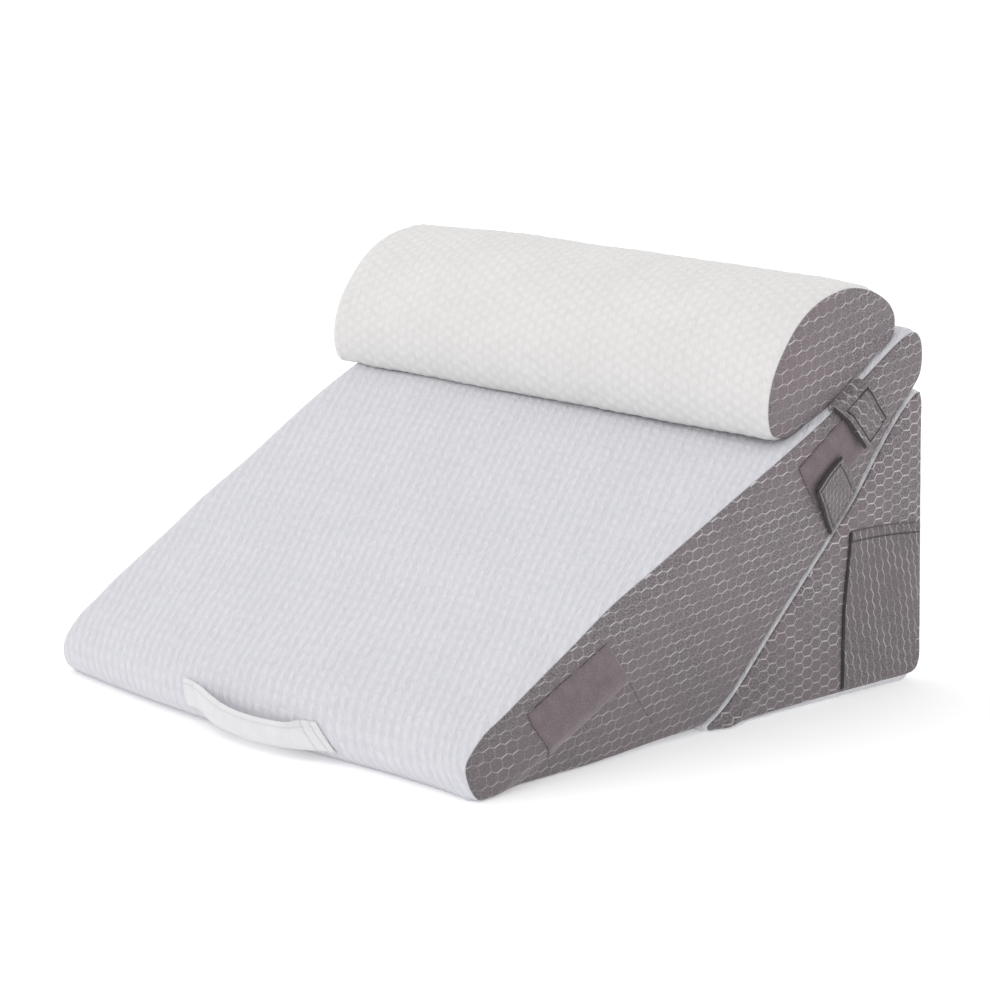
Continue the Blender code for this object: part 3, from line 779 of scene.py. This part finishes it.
def carry_handle(name, tree, material):
    """Strap on the nose: tacked flat at its two ends, bowed forward between them, with a hem."""
    cols = 14
    under, over, layout = [], [], []
    length = 0.0
    last = None
    shares = np.linspace(0.0, 1.0, cols + 1)
    for x, top, low, stand in open_curve(HANDLE, HANDLE_STEP):
        skew = HANDLE_SKEW[0] * fade(-63.0, -10.0, x)
        skew += HANDLE_SKEW[1] * smoothstep(66.0, 112.0, x)
        places = x + skew * (shares - (0.5 if x < 30.0 else 0.0))
        heights = low + (top - low) * shares
        fronts = bridge([max(front_reach(tree, place, z + s) for s in (-3.0, 0.0, 3.0))
                         for place, z in zip(places, heights)])
        front = np.array(fronts) + GAP + max(stand, 0.0)
        if last is not None:
            length += math.hypot(x - last[0], front.mean() - last[1])
        last = (x, front.mean())
        inset = np.minimum(shares, 1.0 - shares) * (top - low)
        thick = HANDLE_THICK - 0.5 * groove(top - heights, 4.5, 0.8)
        for tack in HANDLE_TACKS:
            thick = thick - 0.7 * groove(x, tack, 1.3)
        thick = thick - 0.9 * fade(0.0, 1.8, inset)
        sag = 1.1 * np.sin(math.pi * shares) * smoothstep(2.0, 9.0, stand)
        under.append(np.column_stack([places, -(front + sag * 0.4), heights]))
        over.append(np.column_stack([places, -(front + sag + np.maximum(thick, 0.8)), heights]))
        layout.append(np.column_stack([np.full(cols + 1, length), shares * (top - low)]))
    piece = sheet_piece(name, np.array(under), np.array(over), np.array(layout),
                        material, 0.35)
    return piece


class Wire:
    """A shader value that can stand in sums and products as a number does."""

    def __init__(self, cloth, socket):
        self.cloth, self.socket = cloth, socket

    def __add__(self, other):
        return self.cloth.math("ADD", self, other)

    def __sub__(self, other):
        return self.cloth.math("SUBTRACT", self, other)

    def __rsub__(self, other):
        return self.cloth.math("SUBTRACT", other, self)

    def __mul__(self, other):
        return self.cloth.math("MULTIPLY", self, other)

    def __truediv__(self, other):
        return self.cloth.math("DIVIDE", self, other)

    def __mod__(self, other):
        return self.cloth.math("FLOORED_MODULO", self, other)

    def __abs__(self):
        return self.cloth.math("ABSOLUTE", self)


class Cloth:
    """Short calls for building the nodes of one material."""

    def __init__(self, name):
        self.material = bpy.data.materials.new(name)
        self.material.use_nodes = True
        self.tree = self.material.node_tree
        self.tree.nodes.clear()
        out = self.tree.nodes.new("ShaderNodeOutputMaterial")
        self.shader = self.tree.nodes.new("ShaderNodeBsdfPrincipled")
        self.tree.links.new(self.shader.outputs[0], out.inputs["Surface"])
        self.layout = self.node("UVMap", {}, uv_map="cloth")[0]

    def node(self, kind, inputs, **settings):
        """Add a node with its inputs, by name or number, and give back its outputs."""
        node = self.tree.nodes.new("ShaderNode" + kind)
        for name, value in settings.items():
            setattr(node, name, value)
        for key, value in inputs.items():
            self.put(node.inputs[key], value)
        return [Wire(self, socket) for socket in node.outputs]

    def put(self, socket, value):
        """Link a wire, or set a number or a colour."""
        if isinstance(value, Wire):
            self.tree.links.new(value.socket, socket)
        else:
            socket.default_value = value

    def math(self, kind, *values):
        return self.node("Math", dict(enumerate(values)), operation=kind)[0]

    def most(self, a, b):
        return self.math("MAXIMUM", a, b)

    def least(self, a, b):
        return self.math("MINIMUM", a, b)

    def wave(self, value, length):
        """Sine wave of a value, given its length."""
        return self.math("SINE", value * (TURN / length))

    def split(self, vector):
        return self.node("SeparateXYZ", {0: vector})[:2]

    def join(self, x, y):
        return self.node("CombineXYZ", {0: x, 1: y})[0]

    def turned(self, angle, shift=(0.0, 0.0)):
        """The cloth layout in millimetres, turned by an angle in degrees."""
        return self.node("Mapping", {
            "Vector": self.layout, "Location": (*shift, 0.0),
            "Rotation": (0.0, 0.0, math.radians(-angle)), "Scale": (1.0 / MM, 1.0 / MM, 1.0 / MM),
        })[0]

    def noise(self, vector, scale, detail=2.0, rough=0.5):
        return self.node("TexNoise", {
            "Vector": vector, "Scale": scale, "Detail": detail, "Roughness": rough,
        })[0]

    def ease(self, value, low, high, start=0.0, end=1.0):
        """Smooth change from start to end while a value goes from low to high."""
        return self.node("MapRange", {
            "Value": value, "From Min": low, "From Max": high, "To Min": start, "To Max": end,
        }, interpolation_type="SMOOTHSTEP")[0]

    def mix(self, share, first, second):
        """Colour between two others, each a wire or three numbers."""
        first, second = (c if isinstance(c, Wire) else (*c, 1.0) for c in (first, second))
        return self.node("Mix", {"Factor": share, 6: first, 7: second}, data_type="RGBA")[2]

    def finish(self, colour, height, rough, sheen, tint=(1.0, 1.0, 1.0), relief=MM):
        """Set the shader, with the height as relief, and give back the material."""
        normal = self.node("Bump", {"Height": height, "Distance": relief, "Strength": 1.0})[0]
        for name, value in (
            ("Base Color", colour), ("Normal", normal), ("Roughness", rough), ("Metallic", 0.0),
            ("Specular IOR Level", 0.25), ("Sheen Weight", sheen), ("Sheen Roughness", 0.45),
            ("Sheen Tint", (*tint, 1.0)),
        ):
            self.put(self.shader.inputs[name], value)
        return self.material

    def to_segment(self, start, end):
        """Distance in millimetres from a straight line between two points of the layout."""
        u, v = self.split(self.turned(0.0))
        length = math.dist(start, end)
        way = ((end[0] - start[0]) / length, (end[1] - start[1]) / length)
        du, dv = u - start[0], v - start[1]
        run, off = du * way[0] + dv * way[1], du * way[1] - dv * way[0]
        past = self.most(self.most(run * -1.0, run - length), 0.0)
        return self.math("SQRT", self.math("POWER", off, 2.0) + self.math("POWER", past, 2.0))

    def crease_with_shade(self, height, colour, dark, lines):
        """Sew lines, given as a strength and a path each, into the height as grooves, and darken the colour
        along them as painted shade.
        """
        for strength, *path in lines:
            for start, end in zip(path, path[1:]):
                away = self.to_segment(start, end)
                height = height + self.ease(away, 0.1, 1.5, -1.3 * strength, 0.0)
                # Painted shade: the colour is mixed towards the dark colour along each line.
                colour = self.mix(self.ease(away, 0.35, 1.25, strength, 0.0), colour, dark)
        return height, colour

    def honeycomb(self, u, v, period, row, rise):
        """Rows of zigzag thread along u, joined by straight links.

        Gives the distance from the thread, where it rises, the distance from a link and the distance
        from the middle of the row.
        """
        line = self.math("ROUND", v / row)
        off = v - line * row
        phase = (u / period + line % 2.0 * 0.5) % 1.0
        fold = abs(phase - 0.5)
        away = abs(off - (0.25 - fold) * (4.0 * rise))
        rising = self.math("LESS_THAN", phase, 0.5)
        upward = self.math("GREATER_THAN", off, 0.0)
        to_link = abs(fold - (1.0 - upward) * 0.5)
        return away, rising, to_link * period, off


def white_cover(name, base, shade, net, ridged, relief, groove_shade, streak):
    """White knit cover with soft uneven puffs, or with slanted ridges of puffs when ridged.

    net gives the column, the row and the turn or lean of the puffs, streak the turn of the short ribs. The
    grooves between the puffs and the low parts of the ribs are darkened towards the shade colour as painted
    shade.
    """
    cloth = Cloth(name)
    column, row, turn = net
    place = cloth.turned(0.0)
    u, v = cloth.split(place if ridged else cloth.turned(turn))
    u = u + (cloth.noise(place, 0.16) - 0.5) * SWAY
    v = v + (cloth.noise(cloth.turned(0.0, NOISE_APART), 0.2) - 0.5) * SWAY
    if ridged:
        ridge = cloth.math("COSINE", (u - v * turn) * (TURN / column))
        beat = cloth.math("COSINE", v * (TURN / row))
        puff = cloth.ease(ridge, -1.0, 0.9) * cloth.ease(beat, -1.0, 0.6, 0.35, 1.0)
    else:
        puff = cloth.ease(hex_distance(u, v, column, row, cloth.most, cloth.least), 0.0, 0.5, 1.0, 0.0)
    run, over = cloth.split(cloth.turned(streak))
    rib = cloth.noise(cloth.join(run * 0.3, over), 0.42)
    fine = cloth.noise(place, 0.9, 2.0, 0.6)
    # Painted shade: the colour is darkened in the grooves between the puffs and in the low parts of the
    # ribs.
    groove_shade_share = cloth.ease(cloth.noise(place, 0.09, 3.0), 0.3, 0.7, 0.5 * groove_shade, groove_shade)
    colour = cloth.mix(cloth.ease(puff, 0.0, 0.7, 1.0, 0.0) * groove_shade_share, base, shade)
    colour = cloth.mix(cloth.ease(rib, 0.4, 0.6, 0.45 * groove_shade, 0.0), colour, shade)
    cloudy = cloth.noise(place, 0.018, 3.0)
    colour = cloth.mix(cloth.ease(cloudy, 0.35, 0.65, 0.0, 0.12), colour, shade)
    height = puff * relief + (rib * 1.2 + fine * 0.2)
    return cloth.finish(colour, height, cloth.ease(fine, 0.2, 0.8, 0.72, 0.9), 0.25)


def grey_knit(name, turn, net, strokes, shade=1.0, upright=False, low=0.0, creases=()):
    """Mauve-grey knit with a light thread drawn in hexagons; upright stands its zigzags on end.

    net gives the period of the zigzags, the distance between them, their rise and their shear,
    strokes the strength of the rising thread, the falling thread and the links, and low says how
    much painted shade darkens the cloth at its foot.
    """
    cloth = Cloth(name)
    ground, thread = (tuple(shade * c for c in colour) for colour in (MAUVE, THREAD))
    dark = tuple(0.5 * c for c in ground)
    light = tuple(min(1.0, 1.5 * c) for c in ground)
    warm = tuple(c * tint for c, tint in zip(ground, WARM_TINT))
    period, row, rise, shear = net
    first, second, third = strokes
    place = cloth.turned(0.0)
    across, along = cloth.split(cloth.turned(turn))
    u, v = (along, across) if upright else (across, along)
    u = u - v * shear
    away, rising, to_link, off = cloth.honeycomb(u, v, period, row, rise)
    line = cloth.ease(away, 0.3, 0.75, 1.0, 0.0)
    rise_line = line * (rising * first)
    fall_line = line * ((1.0 - rising) * second)
    link = cloth.ease(to_link, 0.3, 0.8, 1.0, 0.0) * cloth.ease(abs(off), rise, rise + 0.5)
    if upright:
        fall_line = fall_line * cloth.ease(cloth.wave(u, 1.7), -0.2, 0.6, 0.15, 1.0)
    else:
        link = link * cloth.ease(cloth.wave(off, 1.9), -0.1, 0.7)
    lines = cloth.most(cloth.most(rise_line, fall_line), link * third)
    lines = lines * cloth.ease(cloth.noise(place, 0.045, 3.0), 0.36, 0.62, 0.25, 1.0)
    speck = cloth.noise(place, 0.62, 2.0, 0.7)
    knit = cloth.wave(across, 1.6) * cloth.wave(along, 1.4)
    cloudy = cloth.noise(place, 0.011, 3.0)
    colour = cloth.mix(cloth.ease(speck, 0.35, 0.65), dark, light)
    colour = cloth.mix(cloth.ease(knit, -0.6, 0.8, 0.0, 0.3), colour, ground)
    colour = cloth.mix(cloth.ease(cloudy, 0.4, 0.62, 0.0, 0.5), colour, warm)
    colour = cloth.mix(lines, colour, thread)
    # Painted shade: the knit is mixed darker towards its foot, near the floor.
    if low:
        foot_shade = cloth.ease(cloth.split(place)[1], 0.0, FOOT_SHADE_REACH, low, 0.0)
        colour = cloth.mix(foot_shade, colour, dark)
    height = lines * 0.35 + speck * 0.3 + knit * 0.08
    # Sewn lines and edges, darkened as painted shade and painted shadow.
    height, colour = cloth.crease_with_shade(height, colour, tuple(0.2 * c for c in ground), creases)
    return cloth.finish(colour, height, cloth.ease(speck, 0.2, 0.8, 0.7, 0.9), 0.3, KNIT_SHEEN)


def felt_cloth(name, dark, light):
    """Short-haired felt."""
    cloth = Cloth(name)
    place = cloth.turned(25.0)
    u, v = cloth.split(place)
    fibre = cloth.noise(cloth.join(u * 0.35, v), 1.6, 3.0, 0.6)
    blotch = cloth.noise(place, 0.08, 3.0)
    colour = cloth.mix(cloth.ease(fibre, 0.3, 0.7), dark, light)
    colour = cloth.mix(cloth.ease(blotch, 0.35, 0.65, 0.0, 0.4), colour, dark)
    return cloth.finish(colour, fibre, cloth.ease(fibre, 0.2, 0.8, 0.85, 0.97), 0.5, FELT_SHEEN,
                        0.6 * MM)


def strap_cloth(name, base, shade, creases):
    """Plain white woven strap with its sewn lines, darkened along them as painted shade."""
    cloth = Cloth(name)
    place = cloth.turned(0.0)
    u, v = cloth.split(place)
    soft = cloth.noise(place, 0.06, 3.0)
    height = cloth.wave(u, 1.2) * cloth.wave(v, 1.0) * 0.06 + soft * 1.2
    colour = cloth.mix(cloth.ease(soft, 0.35, 0.65, 0.0, 0.3), base, shade)
    # Sewn lines, darkened as painted shade.
    height, colour = cloth.crease_with_shade(height, colour, tuple(0.7 * c for c in shade), creases)
    return cloth.finish(colour, height, cloth.ease(soft, 0.2, 0.8, 0.75, 0.88), 0.2)


def pale_floor():
    """A wide pale floor that carries the soft light right up to the backdrop."""
    mesh = bpy.data.meshes.new("studio_floor")
    corners = [(a * FLOOR_HALF, b * FLOOR_HALF, 0.0) for a, b in ((-1, -1), (1, -1), (1, 1), (-1, 1))]
    mesh.from_pydata(corners, [], [(0, 1, 2, 3)])
    floor = in_scene("studio_floor", mesh)
    floor.location.z = -FLOOR_UNDER
    material = bpy.data.materials.new("studio_floor")
    material.use_nodes = True
    shader = material.node_tree.nodes["Principled BSDF"]
    for name, value in (
        ("Base Color", (0.93, 0.93, 0.935, 1.0)), ("Roughness", 0.9), ("Specular IOR Level", 0.0),
        ("Emission Color", (1.0, 1.0, 1.0, 1.0)), ("Emission Strength", FLOOR_GLOW),
    ):
        shader.inputs[name].default_value = value
    floor.data.materials.append(material)
    floor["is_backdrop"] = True


def soft_light(name, place, size, power, colour):
    """A square studio light."""
    lamp = bpy.data.lights.new(name, "AREA")
    lamp.shape = "SQUARE"
    lamp.size = size
    lamp.energy = power
    lamp.color = colour
    thing = in_scene(name, lamp)
    thing.location = place
    thing.rotation_euler = (Vector(LIT_POINT) - Vector(place)).to_track_quat("-Z", "Y").to_euler()


def studio():
    """Backdrop, lights and the camera at the photograph's viewing angle."""
    scene = bpy.context.scene
    world = scene.world or bpy.data.worlds.new("studio")
    scene.world = world
    world.use_nodes = True
    sky = world.node_tree.nodes["Background"]
    sky.inputs["Color"].default_value = (1.0, 1.0, 1.0, 1.0)
    sky.inputs["Strength"].default_value = WORLD_LIGHT
    scene.view_settings.view_transform = "Standard"
    scene.view_settings.look = "None"
    pale_floor()
    for light in LIGHTS:
        soft_light(*light)
    azimuth, elevation = math.radians(CAMERA_AZIMUTH), math.radians(CAMERA_ELEVATION)
    back = Vector((math.sin(azimuth) * math.cos(elevation), -math.cos(azimuth) * math.cos(elevation),
                   math.sin(elevation)))
    right = Vector((math.cos(azimuth), math.sin(azimuth), 0.0))
    up = back.cross(right)
    centre = right * CAMERA_SIDE + up * CAMERA_UP + back * CAMERA_AWAY + Vector(SHIFT * MM)
    camera = bpy.data.cameras.new("view")
    camera.sensor_width = 36.0
    camera.lens = CAMERA_LENS
    thing = in_scene("view", camera)
    frame_of = Matrix((right, up, back)).transposed().to_4x4()
    frame_of.translation = centre
    thing.matrix_world = frame_of
    scene.camera = thing


def pucker(v, inset, reach):
    """Gathers of a cover beside its seam."""
    near = smoothstep(reach, 3.0, inset) * smoothstep(0.0, 3.0, inset)
    return PUCKER * uneven(SEAM_WAVES, v, 0.0 * v) * near


def relief_front(grid, v, inset):
    """Slight unevenness of the long wedge, gathers on its nose and puckers along its seams."""
    x, y, z = grid[..., 0], grid[..., 1], grid[..., 2]
    free = smoothstep(0.0, 9.0, inset) * smoothstep(2.0, 14.0, z)
    soft = 0.55 * uneven(SOFT_WAVES, x, v) + 0.25 * uneven(FINE_WAVES, x, v)
    clear = fade(0.0, 30.0, y - z)
    return grid + grid_normals(grid) * ((soft * free + pucker(v, inset, 16.0)) * clear)[..., None]


def relief_rear(grid, v, inset):
    """Slight unevenness of the rear wedge, on its back alone."""
    out = grid.copy()
    x, y, z = grid[..., 0], grid[..., 1], grid[..., 2]
    free = smoothstep(0.0, 9.0, inset) * smoothstep(250.0, 268.0, y) * smoothstep(2.0, 14.0, z)
    out[..., 1] += 0.5 * uneven(SOFT_WAVES, x, v) * free
    return out


def relief_bolster(grid, v, inset):
    """Puffed hexagons of the headrest's cover and its slight unevenness."""
    x = grid[..., 0]
    free = smoothstep(0.0, 8.0, inset)
    turn = math.radians(HEADREST_TURN)
    u_turned = (x - BOLSTER_LEFT) * math.cos(turn) + v * math.sin(turn)
    v_turned = v * math.cos(turn) - (x - BOLSTER_LEFT) * math.sin(turn)
    puff = fade(0.14, 0.5, hex_distance(u_turned, v_turned, HEADREST_COLUMN, HEADREST_ROW))
    soft = 0.35 * uneven(SOFT_WAVES, x + 40.0, v) + 0.25 * uneven(FINE_WAVES, x, v)
    rise = HEADREST_RELIEF * puff * free + soft * free + pucker(v, inset, 14.0)
    return grid + grid_normals(grid) * rise[..., None]


def grid_normals(grid):
    """Outward normals of a lofted grid whose rings run round x."""
    across = np.gradient(grid, axis=0)
    around = np.roll(grid, -1, 1) - np.roll(grid, 1, 1)
    normal = np.cross(around, across)
    normal /= np.maximum(np.linalg.norm(normal, axis=2)[..., None], 1e-9)
    centre = grid.mean(1)[:, None, :]
    facing = np.sign(((grid - centre) * normal).sum())
    return normal * facing


SOFT_WAVES = waves(7, 11, 70.0, 190.0)
FINE_WAVES = waves(9, 12, 22.0, 48.0)
SEAM_WAVES = waves(6, 13, 9.0, 26.0)
BROAD_WAVES = waves(6, 15, 60.0, 150.0)
def pocket_rise(u, v, inset):
    """Slight bulge of the side pocket, its hem along the top and its turned edges."""
    lift = POCKET_RISE * np.sin(math.pi * np.clip(u, 0, 1)) * np.sin(math.pi * np.clip(v, 0, 1))
    from_top = (1.0 - v) * POCKET_HIGH
    carve = -0.8 * groove(from_top, 10.0, 1.1) - 0.45 * groove(inset, 3.2, 0.8)
    return lift, carve + 0.35 * smoothstep(10.0, 6.0, from_top)


def tab_rise(u, v, inset):
    """Stitched border of a tab and its free corner that stands off a little."""
    lift = 2.2 * fade(0.0, 0.6, v) * smoothstep(0.15, 0.7, u) + 1.2 * smoothstep(0.8, 1.0, u)
    return lift, -0.8 * groove(inset, 4.0, 0.7) + 0.25 * smoothstep(4.0, 2.0, inset)


def felt_rise(_u, _v, inset):
    """A felt strip is pressed down along its edge."""
    return 0.0 * inset, -0.35 * fade(0.5, 3.0, inset)


def make_pillow():
    """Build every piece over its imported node."""
    slope = white_cover("slope_cover", WHITE, WHITE_SHADE, RIDGES, True, 0.55, 0.55, 62.0)
    # The rear wedge's cover: a lighter copy of the slope's knit, as painted light.
    wrap = white_cover("wrap_cover", LIT_WRAP_WHITE, WHITE, RIDGES, True, 0.5, 0.45, 62.0)
    warm = white_cover("headrest_cover", WARM_WHITE, WARM_SHADE,
                       (HEADREST_COLUMN, HEADREST_ROW, HEADREST_TURN), False, 0.25, 0.32, 60.0)
    front_knit = grey_knit("front_side_knit", *FRONT_NET, low=0.34, creases=CREASES)
    rear_knit = grey_knit("rear_side_knit", *REAR_NET, low=0.26, upright=True)
    end_knit = grey_knit("headrest_end_knit", *END_NET, 1.06)
    tab_knit = grey_knit("tab_knit", *TAB_NET, 0.84, creases=TAB_SEAMS_AND_SHADOWS)
    over_knit = grey_knit("headrest_tab_knit", *OVER_NET, 0.9, creases=OVER_SEAMS_AND_SHADOWS)
    pocket_knit = grey_knit("pocket_knit", *POCKET_NET, 0.8, creases=POCKET_SEAMS_AND_SHADOWS)
    felt = felt_cloth("felt", FELT_DARK, FELT_LIGHT)
    strap = strap_cloth("strap_white", STRAP_WHITE, STRAP_SHADE, STRAP_SEAMS)

    front, front_ends = stuffed_body("front_wedge", FRONT_SEAM, -FRONT_HALF, FRONT_HALF, front_shift,
                                     relief_front, slope, FRONT_STEP)
    rear, rear_ends = stuffed_body("rear_wedge", REAR_SEAM, -REAR_HALF, REAR_HALF, rear_shift,
                                   relief_rear, wrap, REAR_STEP)
    panels = {}
    for side, hand, index, inset in ((-1, "left", 0, LEFT_INSET), (1, "right", 1, 0.0)):
        panels[side] = [
            side_panel("front_side_" + hand, front_ends[index], side, front_knit, inset),
            side_panel("rear_side_" + hand, rear_ends[index], side, rear_knit, inset),
        ]
    for side, hand in ((-1, "left"), (1, "right")):
        base = tree_of(panels[side])
        strips = [
            side_patch(name + hand, base, side, corners, LOOP_STEP, GAP, LOOP_THICK, felt,
                       felt_rise)
            for name, corners in (("loop_low_", LOOP_LOW), ("loop_high_", LOOP_HIGH))
        ]
        base = tree_of(panels[side] + strips + [front, rear])
        side_patch("tab_rear_" + hand, base, side, TAB_REAR, TAB_STEP, REST_CLEAR, TAB_FLAT,
                   tab_knit, tab_rise, span=True)
        if side > 0:
            bent_tab("tab_bolster_right", base, over_knit)
        else:
            side_patch("tab_bolster_left", base, side, TAB_LEFT, TAB_STEP, REST_CLEAR, TAB_FLAT,
                       over_knit, tab_rise, span=True)
    base = tree_of(panels[1])
    side_patch("side_pocket", base, 1, POCKET, POCKET_STEP, GAP, POCKET_THICK, pocket_knit,
               pocket_rise)
    carry_handle("carry_handle", tree_of([front]), strap)
    below = tree_of([front] + panels[-1] + panels[1])
    bolster, ends = stuffed_body("bolster", BOLSTER_SEAM, BOLSTER_LEFT, BOLSTER_RIGHT, bolster_shift,
                                 relief_bolster, warm, BOLSTER_STEP, below)
    side_panel("bolster_end_left", ends[0], -1, end_knit, LEFT_INSET)
    side_panel("bolster_end_right", ends[1], 1, end_knit)


make_pillow()
studio()
[[[float(n) for n in corner] for corner in box] for box in (cad_box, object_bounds())]
